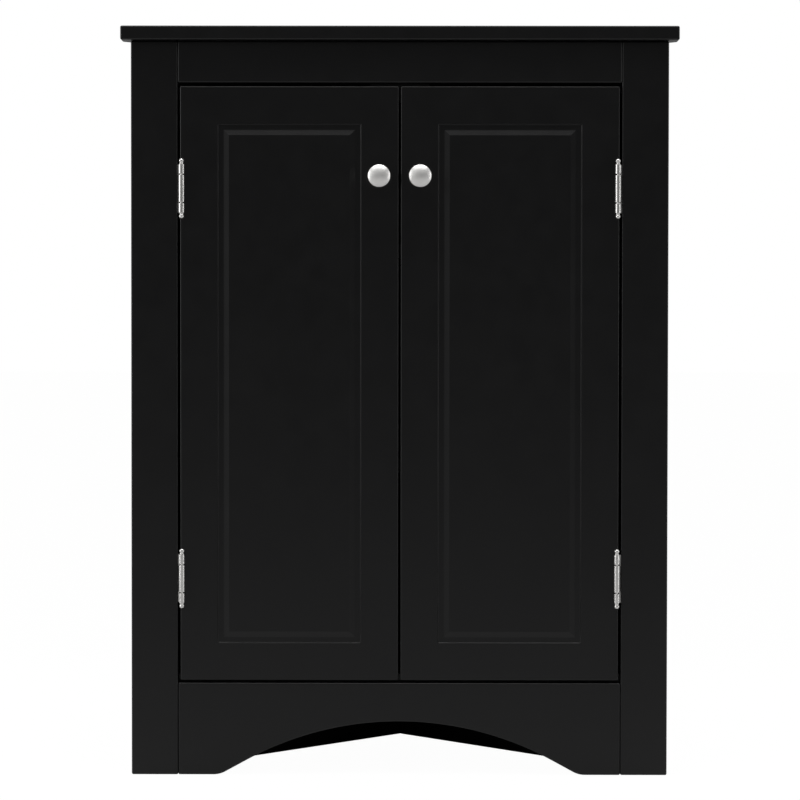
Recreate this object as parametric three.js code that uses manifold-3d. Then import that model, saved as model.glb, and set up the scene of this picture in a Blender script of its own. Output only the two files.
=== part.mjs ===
import * as THREE from "three";
import { mergeVertices } from "three/addons/utils/BufferGeometryUtils.js";
import Module from "manifold-3d";

// A painted corner cupboard, in millimetres. Z is up, the doors face -Y and the back corner points to +Y.
// Two back panels meet at a right angle and stand along the room's two walls. A front frame of two stiles,
// a top rail and an arched apron closes the third side, and two doors hang in it on butt hinges.

const wasm = await Module();
wasm.setup();

// Overall sizes
const height = 800; // floor to the top surface
const frontWidth = 574; // across the two stiles
const topSideOverhang = 10; // top past each stile
const topFrontOverhang = 12; // top in front of the frame

// Boards
const topThickness = 15;
const bottomThickness = 15;
const frameThickness = 15; // stiles, top rail and apron
const panelThickness = 15; // the two back panels
const shelfThickness = 15;
const doorThickness = 15;
const easedEdge = 0.8; // chamfer along every painted board edge

// Front frame
const stileWidth = 50;
const railHeight = 44.5;
const apronHeight = 99;
const archRise = 57.3; // floor to the crown of the arch
const archFootFromStile = 44.5; // stile to where the straight foot of the arch would meet the floor
const archFootAngle = (28.6 * Math.PI) / 180; // slope of the straight foot
const archFootFillet = 27;

// Back panels, bottom and corner blocks
const panelNose = 6; // blunt end of each back panel behind its stile
const housingDepth = 5; // groove in the back panels that holds the bottom
const bottomStep = 8; // bottom board above the apron, so that it stops the doors
const bottomNose = 8;
const blockLeg = 24; // glue block behind each stile

// Doors
const leafClearance = 0.3; // between the two closed leaves of a hinge, which sets the gap from door to stile
const centreGap = 2.2; // door to door
const doorTopGap = 3.5;
const doorBottomGap = 2.8;
const stopGap = 0.5; // back of a closed door to the bottom board that stops it
const grooveMargin = 39.6; // door edge to the routed groove
const grooveWidth = 12.7;
const grooveDepth = 2.1;

// Shelves and their pins
const shelfClearance = 1;
const shelfNose = 8;
const shelfToBlock = 3; // front edge behind the corner blocks
const pinPitch = 32; // between rows of pin holes
const pinRowSteps = [-1, 0, 1]; // rows of holes about the one in use
const pinFromCorner = 85; // hole near the back corner, measured along the wall
const pinFromFront = 110; // hole near the stile, measured from the front end of the panel
const pegRadius = 2.5;
const pegLength = 9;
const pinWidth = 10;
const pinHeight = 12;
const pinReach = 10;
const pinWall = 1.5;

// Hinges
const hingeFromEnd = 109.3; // end of the door to the middle of the hinge
const leafHeight = 51.5;
const leafWidth = 11.4; // flat of each leaf on the edge of its board
const leafThickness = 1;
const barrelRadius = 3.05;
const hingePinRadius = 1.2;
const axisInset = 1.9; // pin inside the edge of the door
const endKnuckle = 10;
const tongueLength = 2.2; // leaf flat to the back of the barrel
const finialRadius = 2.7;
const finialLength = 6.3;
const leafHoleRadius = 2.1;
const leafHoleSpacing = 33;
const bendFrom = Math.PI / 10; // where the frame leaf meets the barrel, as angles about the pin
const bendTo = Math.PI / 3.8;

// Knobs
const knobRadius = 12;
const knobProjection = 24;
const knobCrown = 8.8; // height of the dome in front of the widest ring
const knobFromEdge = 20.75; // closing edge of the door to the knob
const knobFromTop = 96.5; // top of the door to the knob
const knobScrewRadius = 2;
const knobScrewBite = 11; // screw inside the knob
const knobScrewHeadRadius = 4.2;
const knobScrewHeadHeight = 2.4;

// Magnetic catch and its strike plates
const catchWidth = 64;
const catchDepth = 14;
const catchDrop = 19; // body below the top rail
const catchFlange = 22; // flange up the back of the top rail
const catchFlangeThickness = 2.5;
const strikeWidth = 26;
const strikeHeight = 13;
const strikeThickness = 1.2;
const strikeFromTop = 4;
const strikeFromEdge = 4;

// Cam fittings and screws
const camRadius = 7.5;
const camSkin = 2.2; // board left in front of a cam
const camReach = 24; // face of the joint to the middle of the cam
const camBoltRadius = 3;
const camBoltBite = 11;
const camBoltNeck = 2;
const camBoltHeadRadius = 3.4;
const camBoltHeadLength = 3;
const camFromCorner = 120; // measured along the wall, as are the next ones
const camFromFront = 70;
const apronCamHeight = 60;
const cornerScrewLength = 45;
const cornerScrewRadius = 2;
const cornerScrewHeadRadius = 4;
const cornerScrewHeadHeight = 2.6;
const cornerScrewFromEnd = 130; // end of the panel to the nearest screw

// Clearances
const fitGap = 0.3; // round a piece in its hole, and at every joint that isn't square to the front
const seatGap = 0.1; // under metal fixed to a board
const overrun = 2; // how far a cutting shape runs past the face that it cuts

// Smoothness
const boreSides = 12;
const barrelSides = 16;
const knobSides = 24;
const grooveSides = 20;
const arcSteps = 12;
const crownSteps = 7;

// Planes and lines that several boards share
const halfFront = frontWidth / 2;
const openingHalf = halfFront - stileWidth;
const backDepth = halfFront + frameThickness + panelNose; // front of the frame to the outer back corner
const wallLength = halfFront * Math.SQRT2; // outer face of a back panel, from its nose to the back corner
const bodyHeight = height - topThickness;
const bottomTop = apronHeight + bottomStep;
const hingeGap = 2 * leafThickness + 2 * seatGap + leafClearance;
const doorWidth = openingHalf - hingeGap - centreGap / 2;
const doorBottom = apronHeight + doorBottomGap;
const doorTop = bodyHeight - railHeight - doorTopGap;
const doorHeight = doorTop - doorBottom;
const doorBack = frameThickness - stopGap;
const doorProud = doorThickness - doorBack; // door face in front of the frame
const bayHeight = (bodyHeight - bottomTop - 2 * shelfThickness) / 3; // clear height of each of the three bays
const shelfBottoms = { lower: bottomTop + bayHeight, upper: bottomTop + 2 * bayHeight + shelfThickness };
const eighth = Math.PI / 4;
const quarter = Math.PI / 2;
const left = -1;
const right = 1;
const sides = { left, right };

// Finishes
const blackPaint = { color: 0x161616, roughness: 0.38, metalness: 0 };
const satinNickel = { color: 0xc9c8c4, roughness: 0.3, metalness: 1 };
const zincSteel = { color: 0xa9abad, roughness: 0.42, metalness: 1 };
const blackPlastic = { color: 0x1b1b1c, roughness: 0.5, metalness: 0 };

// Shared corners are merged while a shape is still where it was made, so that rounding can't part them.
function weld(geometry) {
  geometry.deleteAttribute("normal");
  geometry.deleteAttribute("uv");
  return mergeVertices(geometry);
}

// Welded shapes as solids that can be cut and joined, and back again
function solidOf(welded) {
  return new wasm.Manifold(
    new wasm.Mesh({
      numProp: 3,
      vertProperties: welded.getAttribute("position").array,
      triVerts: new Uint32Array(welded.getIndex().array),
    }),
  );
}

function geometryOf(solid) {
  const mesh = solid.getMesh();
  const geometry = new THREE.BufferGeometry();
  geometry.setAttribute("position", new THREE.BufferAttribute(mesh.vertProperties, mesh.numProp));
  geometry.setIndex(new THREE.BufferAttribute(mesh.triVerts, 1));
  return geometry;
}

function cut(geometry, ...tools) {
  return geometryOf(tools.reduce((solid, tool) => solid.subtract(solidOf(tool)), solidOf(geometry)));
}

function join(first, ...others) {
  return geometryOf(others.reduce((solid, other) => solid.add(solidOf(other)), solidOf(first)));
}

// A box between two opposite corners, given in any order.
function block(a, b) {
  const [w, d, h] = a.map((value, i) => Math.abs(b[i] - value));
  const [x, y, z] = a.map((value, i) => (value + b[i]) / 2);
  return weld(new THREE.BoxGeometry(w, d, h)).translate(x, y, z);
}

// A round bar from one point to another, or a cone where the two radii differ.
function bar(from, to, radius, sidesRound = boreSides, endRadius = radius) {
  const start = new THREE.Vector3(...from);
  const along = new THREE.Vector3(...to).sub(start);
  const length = along.length();
  const turn = new THREE.Quaternion().setFromUnitVectors(new THREE.Vector3(0, 1, 0), along.normalize());
  return weld(new THREE.CylinderGeometry(endRadius, radius, length, sidesRound))
    .translate(0, length / 2, 0)
    .applyQuaternion(turn)
    .translate(start.x, start.y, start.z);
}

// A board from its outline, lying flat with its lower face at z = 0 and all its edges eased.
function board(shape, thickness) {
  const slab = new THREE.ExtrudeGeometry(shape, {
    depth: thickness - 2 * easedEdge,
    bevelThickness: easedEdge,
    bevelSize: easedEdge,
    bevelOffset: -easedEdge,
    bevelSegments: 1,
  });
  return weld(slab).translate(0, 0, easedEdge);
}

// A plain prism from its outline, with sharp edges and its lower face at z = 0.
function prism(shape, depth) {
  return weld(new THREE.ExtrudeGeometry(shape, { depth, bevelEnabled: false }));
}

// The same board standing up, with its front face at y = 0 and the outline's own y as its height.
function uprightBoard(shape, thickness) {
  return board(shape, thickness).rotateX(quarter).translate(0, thickness, 0);
}

function shapeOf(points) {
  return new THREE.Shape(points.map(([x, y]) => new THREE.Vector2(x, y)));
}

function rectangle(x0, y0, x1, y1) {
  return shapeOf([
    [x0, y0],
    [x1, y0],
    [x1, y1],
    [x0, y1],
  ]);
}

// Points along an arc, both ends included.
function arcPoints(x, y, radius, from, to) {
  return Array.from({ length: arcSteps + 1 }, (_, i) => {
    const angle = from + ((to - from) * i) / arcSteps;
    return [x + radius * Math.cos(angle), y + radius * Math.sin(angle)];
  });
}

// Plan of a corner board: a straight front, two short sides of length nose, and two edges that run
// parallel to the walls, inset from their faces, to the back corner.
function cornerPlan(frontY, nose, inset) {
  const backY = backDepth - inset * Math.SQRT2;
  const halfWidth = backY - frontY - nose;
  return shapeOf([
    [-halfWidth, frontY],
    [halfWidth, frontY],
    [halfWidth, frontY + nose],
    [0, backY],
    [-halfWidth, frontY + nose],
  ]);
}

// Places on a back panel: x is the distance from the outer back corner along the wall, times the side, y is 0
// on the outer face and negative inside, and z is the height.
function wallMatrix(side) {
  return new THREE.Matrix4().makeRotationZ(-side * eighth).setPosition(0, backDepth, 0);
}

function wallGroup(side) {
  const group = new THREE.Group();
  group.position.set(0, backDepth, 0);
  group.rotation.z = -side * eighth;
  return group;
}

const cupboard = new THREE.Group();
const frontLimit = -doorProud - seatGap - knobProjection;
cupboard.position.y = -(frontLimit + backDepth) / 2; // origin on the floor, under the middle of the whole

function addPiece(name, geometry, finish, parent = cupboard) {
  const faceted = geometry.toNonIndexed();
  faceted.computeVertexNormals();
  const mesh = new THREE.Mesh(faceted, new THREE.MeshStandardMaterial(finish));
  mesh.name = name;
  parent.add(mesh);
  return mesh;
}

// Cam bolts and cams. A bolt bites into one board and its head sits in a cam let into the other.
const camBore = (from, to) => bar(from, to, camBoltHeadRadius + fitGap);
const camPocketDepth = Math.min(frameThickness, panelThickness) - camSkin;
const camLength = camPocketDepth - fitGap;

// A bolt along +Z whose joint face is at z = 0: it bites below and reaches up to the middle of the cam.
function camBoltGeometry() {
  const tip = camReach + camBoltHeadLength / 2;
  const neck = tip - camBoltHeadLength;
  return join(
    bar([0, 0, -camBoltBite], [0, 0, neck - camBoltNeck], camBoltRadius),
    bar([0, 0, neck - camBoltNeck - overrun], [0, 0, neck + overrun / 2], camBoltRadius / 2),
    bar([0, 0, neck], [0, 0, tip], camBoltHeadRadius),
  );
}

// A cam whose flat face is at y = 0, with its body along +Y and the way in for the bolt from +Z.
function camGeometry() {
  const boltLine = panelThickness / 2;
  const slotWidth = camBoltRadius / 2 + fitGap;
  return cut(
    bar([0, 0, 0], [0, camLength, 0], camRadius, barrelSides),
    bar([0, boltLine, -camBoltHeadLength], [0, boltLine, camRadius + overrun], camBoltHeadRadius + fitGap),
    block([-camRadius / 2, -overrun, -slotWidth / 2], [camRadius / 2, slotWidth, slotWidth / 2]),
  );
}

// Top and bottom boards, and the two places on each wall where a cam draws the top down.
const camPlaces = { back: camFromCorner, front: wallLength - camFromFront };
const topCamLine = -panelThickness / 2;
const topNose = backDepth + topFrontOverhang - halfFront - topSideOverhang;
const topBoltHoles = Object.values(sides).flatMap((side) =>
  Object.values(camPlaces).map((place) =>
    bar(
      [side * place, topCamLine, -overrun],
      [side * place, topCamLine, camBoltBite + fitGap],
      camBoltRadius + fitGap,
    ).applyMatrix4(wallMatrix(side)),
  ),
);
addPiece(
  "top_panel",
  cut(board(cornerPlan(-topFrontOverhang, topNose, 0), topThickness), ...topBoltHoles),
  blackPaint,
).position.z = bodyHeight;

const bottomInset = panelThickness - housingDepth + fitGap;
addPiece(
  "bottom_panel",
  board(cornerPlan(frameThickness, bottomNose, bottomInset), bottomThickness),
  blackPaint,
).position.z = bottomTop - bottomThickness;

// Back panels. The left one runs through to the back corner and the right one butts against its inner face.
const innerBackY = backDepth - panelThickness * Math.SQRT2;
const panelFrontY = frameThickness;
const innerFrontX = innerBackY - panelFrontY;
const lapX = panelThickness / Math.SQRT2;
const housing = prism(
  cornerPlan(frameThickness - overrun, overrun, panelThickness - housingDepth),
  bottomThickness + 2 * fitGap,
).translate(0, 0, bottomTop - bottomThickness - fitGap);

function backPanelPlan(side) {
  const lapGap = fitGap / Math.SQRT2;
  const throughEnd = [
    [0, backDepth],
    [lapX, backDepth - lapX],
  ];
  const buttedEnd = [
    [lapX + lapGap, backDepth - lapX - lapGap],
    [lapGap, innerBackY - lapGap],
  ];
  return shapeOf([
    [side * halfFront, panelFrontY],
    [side * halfFront, panelFrontY + panelNose],
    ...(side === left ? throughEnd : buttedEnd),
    [side * innerFrontX, panelFrontY],
  ]);
}

// Rows of shelf pin holes, in two columns on each panel.
const shelfPinDrop = pinHeight / 2; // ledge of a pin above its peg
const pinColumns = { back: pinFromCorner, front: wallLength - pinFromFront };
const pinRows = Object.values(shelfBottoms).flatMap((bottom) =>
  pinRowSteps.map((step) => bottom - shelfPinDrop + step * pinPitch),
);
const cornerScrewHeights = [cornerScrewFromEnd, bodyHeight / 2, bodyHeight - cornerScrewFromEnd];
const cornerScrewLine = panelThickness / 2;

function cornerScrewHoles() {
  const x = -cornerScrewLine;
  return cornerScrewHeights.flatMap((z) => [
    bar([x, overrun, z], [x, -cornerScrewLength - fitGap, z], cornerScrewRadius + fitGap),
    bar([x, overrun, z], [x, -cornerScrewHeadHeight - fitGap, z], cornerScrewHeadRadius + fitGap),
  ]);
}

function backPanelCuts(side) {
  const pinHoles = Object.values(pinColumns).flatMap((column) =>
    pinRows.map((z) =>
      bar(
        [side * column, -panelThickness - overrun, z],
        [side * column, -panelThickness + pegLength + fitGap, z],
        pegRadius + fitGap,
      ),
    ),
  );
  const camZ = bodyHeight - camReach;
  const camCuts = Object.values(camPlaces).flatMap((place) => [
    bar(
      [side * place, -panelThickness - overrun, camZ],
      [side * place, -panelThickness + camPocketDepth, camZ],
      camRadius + fitGap,
      barrelSides,
    ),
    camBore([side * place, topCamLine, camZ], [side * place, topCamLine, bodyHeight + overrun]),
  ]);
  return [...pinHoles, ...camCuts];
}

for (const [name, side] of Object.entries(sides)) {
  const cuts = backPanelCuts(side).map((tool) => tool.applyMatrix4(wallMatrix(side)));
  const screwHoles = cornerScrewHoles().map((tool) => tool.applyMatrix4(wallMatrix(left)));
  addPiece(
    `${name}_back_panel`,
    cut(board(backPanelPlan(side), bodyHeight), housing, ...cuts, ...screwHoles),
    blackPaint,
  );
}

// Screws that close the back corner, driven through the left panel into the end of the right one.
const leftWall = wallGroup(left);
cupboard.add(leftWall);
["lower", "middle", "upper"].forEach((name, i) => {
  const headEnd = [0, -cornerScrewHeadHeight, 0];
  const screw = join(
    bar([0, -cornerScrewHeadHeight / 2, 0], [0, -cornerScrewLength, 0], cornerScrewRadius),
    bar([0, -seatGap, 0], headEnd, cornerScrewHeadRadius, boreSides, cornerScrewRadius),
  );
  const mesh = addPiece(`${name}_corner_screw`, screw, zincSteel, leftWall);
  mesh.position.set(-cornerScrewLine, 0, cornerScrewHeights[i]);
});

// Glue blocks in the angle between each stile and its back panel, from the bottom board up to the top.
for (const [name, side] of Object.entries(sides)) {
  const shift = fitGap * Math.SQRT2;
  const innerX = innerFrontX - shift;
  const reach = blockLeg / Math.SQRT2;
  const shape = shapeOf([
    [side * innerX, frameThickness],
    [side * (innerX - blockLeg), frameThickness],
    [side * (innerX - reach), frameThickness + reach],
  ]);
  addPiece(`${name}_corner_block`, prism(shape, bodyHeight - bottomTop), blackPaint).position.z = bottomTop;
}

// Front frame. Each rail is drawn up to the stiles by a cam at either end.
const railCamHeight = bodyHeight - railHeight / 2;
const frameCamHeights = { rail: railCamHeight, apron: apronCamHeight };
const frameCamLine = frameThickness - panelThickness / 2;
const frameCamX = openingHalf - camReach;

for (const [name, side] of Object.entries(sides)) {
  const outline = rectangle(side * openingHalf, 0, side * halfFront, bodyHeight);
  const boltHoles = Object.values(frameCamHeights).map((z) =>
    bar(
      [side * (openingHalf - overrun), frameCamLine, z],
      [side * (openingHalf + camBoltBite + fitGap), frameCamLine, z],
      camBoltRadius + fitGap,
    ),
  );
  addPiece(`${name}_stile`, cut(uprightBoard(outline, frameThickness), ...boltHoles), blackPaint);
}

function frameCamCuts(z) {
  return Object.values(sides).flatMap((side) => [
    bar(
      [side * frameCamX, frameThickness + overrun, z],
      [side * frameCamX, frameThickness - camPocketDepth, z],
      camRadius + fitGap,
      barrelSides,
    ),
    camBore([side * frameCamX, frameCamLine, z], [side * (openingHalf + overrun), frameCamLine, z]),
  ]);
}

addPiece(
  "top_rail",
  cut(
    uprightBoard(rectangle(-openingHalf, bodyHeight - railHeight, openingHalf, bodyHeight), frameThickness),
    ...frameCamCuts(railCamHeight),
  ),
  blackPaint,
);

// The apron's arch: one arc, a straight run down to each foot, and a fillet onto the floor.
function apronShape() {
  const slope = archFootAngle;
  const footX = openingHalf - archFootFromStile;
  const archRadius = (footX - archRise / Math.tan(slope)) / Math.tan(slope / 2);
  const tangent = archFootFillet * Math.tan(slope / 2);
  return shapeOf([
    [-openingHalf, 0],
    ...arcPoints(-footX - tangent, archFootFillet, archFootFillet, -quarter, -quarter + slope),
    ...arcPoints(0, archRise - archRadius, archRadius, quarter + slope, quarter - slope),
    ...arcPoints(footX + tangent, archFootFillet, archFootFillet, -quarter - slope, -quarter),
    [openingHalf, 0],
    [openingHalf, apronHeight],
    [-openingHalf, apronHeight],
  ]);
}

addPiece(
  "arched_apron",
  cut(uprightBoard(apronShape(), frameThickness), ...frameCamCuts(apronCamHeight)),
  blackPaint,
);

// The cam fittings themselves, in the front frame and at the head of each back panel.
for (const [sideName, side] of Object.entries(sides)) {
  for (const [railName, z] of Object.entries(frameCamHeights)) {
    const joint = new THREE.Group();
    joint.position.set(side * openingHalf, frameCamLine, z);
    joint.rotation.y = -side * quarter;
    cupboard.add(joint);
    addPiece(`${sideName}_${railName}_cam_bolt`, camBoltGeometry(), zincSteel, joint);
    const cam = addPiece(`${sideName}_${railName}_cam`, camGeometry(), zincSteel);
    cam.position.set(side * frameCamX, frameThickness, z);
    cam.rotation.set(0, side * quarter, Math.PI);
  }
  const wall = wallGroup(side);
  cupboard.add(wall);
  for (const [placeName, place] of Object.entries(camPlaces)) {
    const bolt = addPiece(`${sideName}_${placeName}_top_cam_bolt`, camBoltGeometry(), zincSteel, wall);
    bolt.position.set(side * place, topCamLine, bodyHeight);
    bolt.rotation.x = Math.PI;
    const cam = addPiece(`${sideName}_${placeName}_top_cam`, camGeometry(), zincSteel, wall);
    cam.position.set(side * place, -panelThickness, bodyHeight - camReach);
  }
}

// Adjustable shelves, each on four pins.
const shelfFrontY = frameThickness + blockLeg / Math.SQRT2 + shelfToBlock;

function shelfPinGeometry() {
  const face = -seatGap;
  return join(
    block([-pinWidth / 2, face, -pinHeight / 2], [pinWidth / 2, face - pinWall, pinHeight / 2]),
    block([-pinWidth / 2, face, pinHeight / 2 - pinWall], [pinWidth / 2, face - pinReach, pinHeight / 2]),
    bar([0, face - pinWall / 2, 0], [0, pegLength, 0], pegRadius),
  );
}

for (const [shelfName, bottom] of Object.entries(shelfBottoms)) {
  addPiece(
    `${shelfName}_shelf`,
    board(cornerPlan(shelfFrontY, shelfNose, panelThickness + shelfClearance), shelfThickness),
    blackPaint,
  ).position.z = bottom;
  for (const [sideName, side] of Object.entries(sides)) {
    const wall = wallGroup(side);
    cupboard.add(wall);
    for (const [columnName, column] of Object.entries(pinColumns)) {
      const pin = addPiece(
        `${shelfName}_shelf_pin_${sideName}_${columnName}`,
        shelfPinGeometry(),
        satinNickel,
        wall,
      );
      pin.position.set(side * column, -panelThickness, bottom - shelfPinDrop - seatGap);
    }
  }
}

// Doors: one board each, with a round-bottomed groove routed round a raised field.
const cutterRadius = (grooveWidth ** 2 / 4 + grooveDepth ** 2) / (2 * grooveDepth);
const cutterAxisY = -doorProud + grooveDepth - cutterRadius;
const knobX = centreGap / 2 + knobFromEdge;
const knobZ = doorTop - knobFromTop;
const hingeHeights = { lower: doorBottom + hingeFromEnd, upper: doorTop - hingeFromEnd };

function grooveCutter(x0, x1) {
  const inset = grooveMargin + grooveWidth / 2;
  const [xa, xb] = [x0 + inset, x1 - inset];
  const [za, zb] = [doorBottom + inset, doorTop - inset];
  const corners = [
    [xa, cutterAxisY, za],
    [xb, cutterAxisY, za],
    [xb, cutterAxisY, zb],
    [xa, cutterAxisY, zb],
  ];
  const runs = corners.map((corner, i) =>
    bar(corner, corners[(i + 1) % corners.length], cutterRadius, grooveSides),
  );
  const ball = weld(new THREE.SphereGeometry(cutterRadius, grooveSides, grooveSides / 2)).rotateX(quarter);
  const ends = corners.map(([x, y, z]) => ball.clone().translate(x, y, z));
  return join(...runs, ...ends);
}

for (const [name, side] of Object.entries(sides)) {
  const [x0, x1] = [centreGap / 2, centreGap / 2 + doorWidth].map((x) => side * x).sort((a, b) => a - b);
  const outline = rectangle(x0, doorBottom, x1, doorTop);
  const slab = uprightBoard(outline, doorThickness).translate(0, -doorProud, 0);
  const screwHole = bar(
    [side * knobX, -doorProud - overrun, knobZ],
    [side * knobX, doorBack + overrun, knobZ],
    knobScrewRadius + fitGap,
  );
  addPiece(`${name}_door`, cut(slab, grooveCutter(x0, x1), screwHole), blackPaint);
}

// Knobs, turned about the line of their screws, with a blind hole for the screw. The stem's profile is in
// shares of the radius and of the height behind the dome, and the dome is half an ellipse.
const stemShares = [
  [0.62, 0],
  [0.62, 0.08],
  [0.46, 0.18],
  [0.37, 0.4],
  [0.4, 0.64],
  [0.62, 0.8],
  [0.9, 0.93],
];
const knobBoreRadius = knobScrewRadius + fitGap;
const knobBoreDepth = knobScrewBite + fitGap;

function knobGeometry() {
  const stemHeight = knobProjection - knobCrown;
  const stem = stemShares.map(([r, h]) => new THREE.Vector2(r * knobRadius, h * stemHeight));
  const crown = Array.from({ length: crownSteps + 1 }, (_, i) => {
    const angle = (i / crownSteps) * quarter;
    return new THREE.Vector2(knobRadius * Math.cos(angle), stemHeight + knobCrown * Math.sin(angle));
  });
  crown[crownSteps].x = 0;
  const bore = [
    new THREE.Vector2(0, knobBoreDepth),
    new THREE.Vector2(knobBoreRadius, knobBoreDepth),
    new THREE.Vector2(knobBoreRadius, 0),
  ];
  return new THREE.LatheGeometry([...bore, ...stem, ...crown], knobSides).rotateX(Math.PI);
}

function knobScrewGeometry() {
  const headStart = seatGap;
  return join(
    bar([0, headStart + knobScrewHeadHeight / 2, 0], [0, -doorThickness - knobScrewBite, 0], knobScrewRadius),
    bar(
      [0, headStart, 0],
      [0, headStart + knobScrewHeadHeight, 0],
      knobScrewHeadRadius,
      barrelSides,
      knobScrewHeadRadius * Math.cos(eighth),
    ),
  );
}

for (const [name, side] of Object.entries(sides)) {
  addPiece(`${name}_knob`, knobGeometry(), satinNickel).position.set(
    side * knobX,
    -doorProud - seatGap,
    knobZ,
  );
  addPiece(`${name}_knob_screw`, knobScrewGeometry(), zincSteel).position.set(side * knobX, doorBack, knobZ);
}

// Butt hinges. Each is drawn about its own pin: a is the distance towards the stile and b towards the back.
// The frame leaf is rolled into the long middle knuckle and the door leaf into the two short end ones.
const hingeAxisX = openingHalf - hingeGap - axisInset;
const hingeAxisY = -doorProud - fitGap - barrelRadius;
const boreRadius = hingePinRadius + fitGap;
const flatFront = barrelRadius + tongueLength;
const stileFace = axisInset + hingeGap - seatGap;
const doorFace = axisInset + seatGap;
const knuckleTop = leafHeight / 2;
const jointHeight = knuckleTop - endKnuckle;
const middleKnuckle = [-jointHeight + fitGap, jointHeight - fitGap];
const endKnuckles = [
  [-knuckleTop, -jointHeight],
  [jointHeight, knuckleTop],
];

function knuckle([z0, z1]) {
  return bar([0, 0, z0], [0, 0, z1], barrelRadius, barrelSides);
}

// The flat of a leaf, against the edge of its board.
function leafFlat(side, near, far) {
  return block([side * near, flatFront, -knuckleTop], [side * far, flatFront + leafWidth, knuckleTop]);
}

function leafHoles(side, near, far) {
  const b = flatFront + leafWidth / 2;
  return [-leafHoleSpacing / 2, leafHoleSpacing / 2].map((z) =>
    bar([side * (near - overrun), b, z], [side * (far + overrun), b, z], leafHoleRadius),
  );
}

function pinBore() {
  return bar([0, 0, -knuckleTop - overrun], [0, 0, knuckleTop + overrun], boreRadius);
}

// The strip that runs forward from the frame leaf's flat and bends round onto the middle knuckle.
function frameLeafBend(side, near, far) {
  const onBarrel = (angle, radius) => [radius * Math.cos(angle), radius * Math.sin(angle)];
  const middle = (barrelRadius + boreRadius) / 2;
  const points = [
    [near, flatFront + leafThickness],
    [near, barrelRadius + leafThickness / 2],
    onBarrel(bendTo, middle),
    onBarrel(bendFrom, middle),
    onBarrel(bendFrom, barrelRadius),
    [far, barrelRadius],
    [far, flatFront + leafThickness],
  ].map(([a, b]) => [side * a, b]);
  const [z0, z1] = middleKnuckle;
  return prism(shapeOf(points), z1 - z0).translate(0, 0, z0);
}

function frameLeafGeometry(side) {
  const [near, far] = [stileFace - leafThickness, stileFace];
  return cut(
    join(leafFlat(side, near, far), knuckle(middleKnuckle), frameLeafBend(side, near, far)),
    pinBore(),
    ...leafHoles(side, near, far),
  );
}

function doorLeafGeometry(side) {
  const [near, far] = [doorFace, doorFace + leafThickness];
  const tongues = endKnuckles.map(([z0, z1]) =>
    block([side * near, barrelRadius / 2, z0], [side * far, flatFront + leafThickness, z1]),
  );
  return cut(
    join(leafFlat(side, near, far), ...endKnuckles.map(knuckle), ...tongues),
    pinBore(),
    ...leafHoles(side, near, far),
  );
}

// The pin, with a neck and a ball tip at each end.
const finialShares = [
  [0.82, 0.06],
  [0.74, 0.3],
  [0.86, 0.4],
  [1, 0.58],
  [0.97, 0.78],
  [0.7, 0.94],
  [0, 1],
];

function hingePinGeometry() {
  const tip = finialShares.map(([r, h]) => [r * finialRadius, knuckleTop + h * finialLength]);
  const half = [[hingePinRadius, tip[0][1]], ...tip];
  const lower = half.map(([r, z]) => new THREE.Vector2(r, -z)).reverse();
  const upper = half.map(([r, z]) => new THREE.Vector2(r, z));
  return new THREE.LatheGeometry([...lower, ...upper], barrelSides).rotateX(quarter);
}

for (const [sideName, side] of Object.entries(sides)) {
  for (const [levelName, z] of Object.entries(hingeHeights)) {
    const hinge = new THREE.Group();
    hinge.position.set(side * hingeAxisX, hingeAxisY, z);
    cupboard.add(hinge);
    const name = `${levelName}_${sideName}_hinge`;
    addPiece(`${name}_frame_leaf`, frameLeafGeometry(side), satinNickel, hinge);
    addPiece(`${name}_door_leaf`, doorLeafGeometry(side), satinNickel, hinge);
    addPiece(`${name}_pin`, hingePinGeometry(), satinNickel, hinge);
  }
}

// A double magnetic catch, screwed to the back of the top rail, and a steel strike on each door.
const strikeBack = doorBack + seatGap + strikeThickness;
const railBottom = bodyHeight - railHeight;
const catchFace = strikeBack + fitGap;

addPiece(
  "magnetic_catch",
  join(
    block(
      [-catchWidth / 2, catchFace, railBottom - catchDrop],
      [catchWidth / 2, catchFace + catchDepth, railBottom + easedEdge],
    ),
    block(
      [-catchWidth / 2, frameThickness + seatGap, railBottom + easedEdge],
      [catchWidth / 2, frameThickness + catchFlangeThickness, railBottom + catchFlange],
    ),
    block(
      [-catchWidth / 2, catchFace, railBottom],
      [catchWidth / 2, catchFace + catchFlangeThickness, railBottom + catchFlange / 2],
    ),
  ),
  blackPlastic,
);

for (const [name, side] of Object.entries(sides)) {
  const near = centreGap / 2 + strikeFromEdge;
  const far = near + strikeWidth;
  const top = doorTop - strikeFromTop;
  const plate = block([side * near, doorBack + seatGap, top - strikeHeight], [side * far, strikeBack, top]);
  addPiece(`${name}_strike_plate`, plate, zincSteel);
}

export default cupboard;
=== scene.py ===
import math

import bmesh
import bpy
from mathutils import Matrix, Vector


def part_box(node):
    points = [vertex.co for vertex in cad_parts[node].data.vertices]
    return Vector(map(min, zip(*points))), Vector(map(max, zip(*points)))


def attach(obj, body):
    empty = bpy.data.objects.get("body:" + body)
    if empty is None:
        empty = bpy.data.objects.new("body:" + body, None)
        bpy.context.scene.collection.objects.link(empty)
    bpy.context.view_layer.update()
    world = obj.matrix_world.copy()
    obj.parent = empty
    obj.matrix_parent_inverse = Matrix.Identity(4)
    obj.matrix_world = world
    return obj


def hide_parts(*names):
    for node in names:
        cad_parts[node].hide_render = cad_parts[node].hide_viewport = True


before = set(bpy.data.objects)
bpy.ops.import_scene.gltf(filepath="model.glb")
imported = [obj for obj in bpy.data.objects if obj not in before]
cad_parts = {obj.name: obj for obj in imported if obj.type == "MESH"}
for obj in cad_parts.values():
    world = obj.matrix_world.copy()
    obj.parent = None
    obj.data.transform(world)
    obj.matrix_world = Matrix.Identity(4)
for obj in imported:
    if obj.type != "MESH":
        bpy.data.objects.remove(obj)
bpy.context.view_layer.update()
bpy.context.scene.view_settings.view_transform = "Standard"


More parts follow.
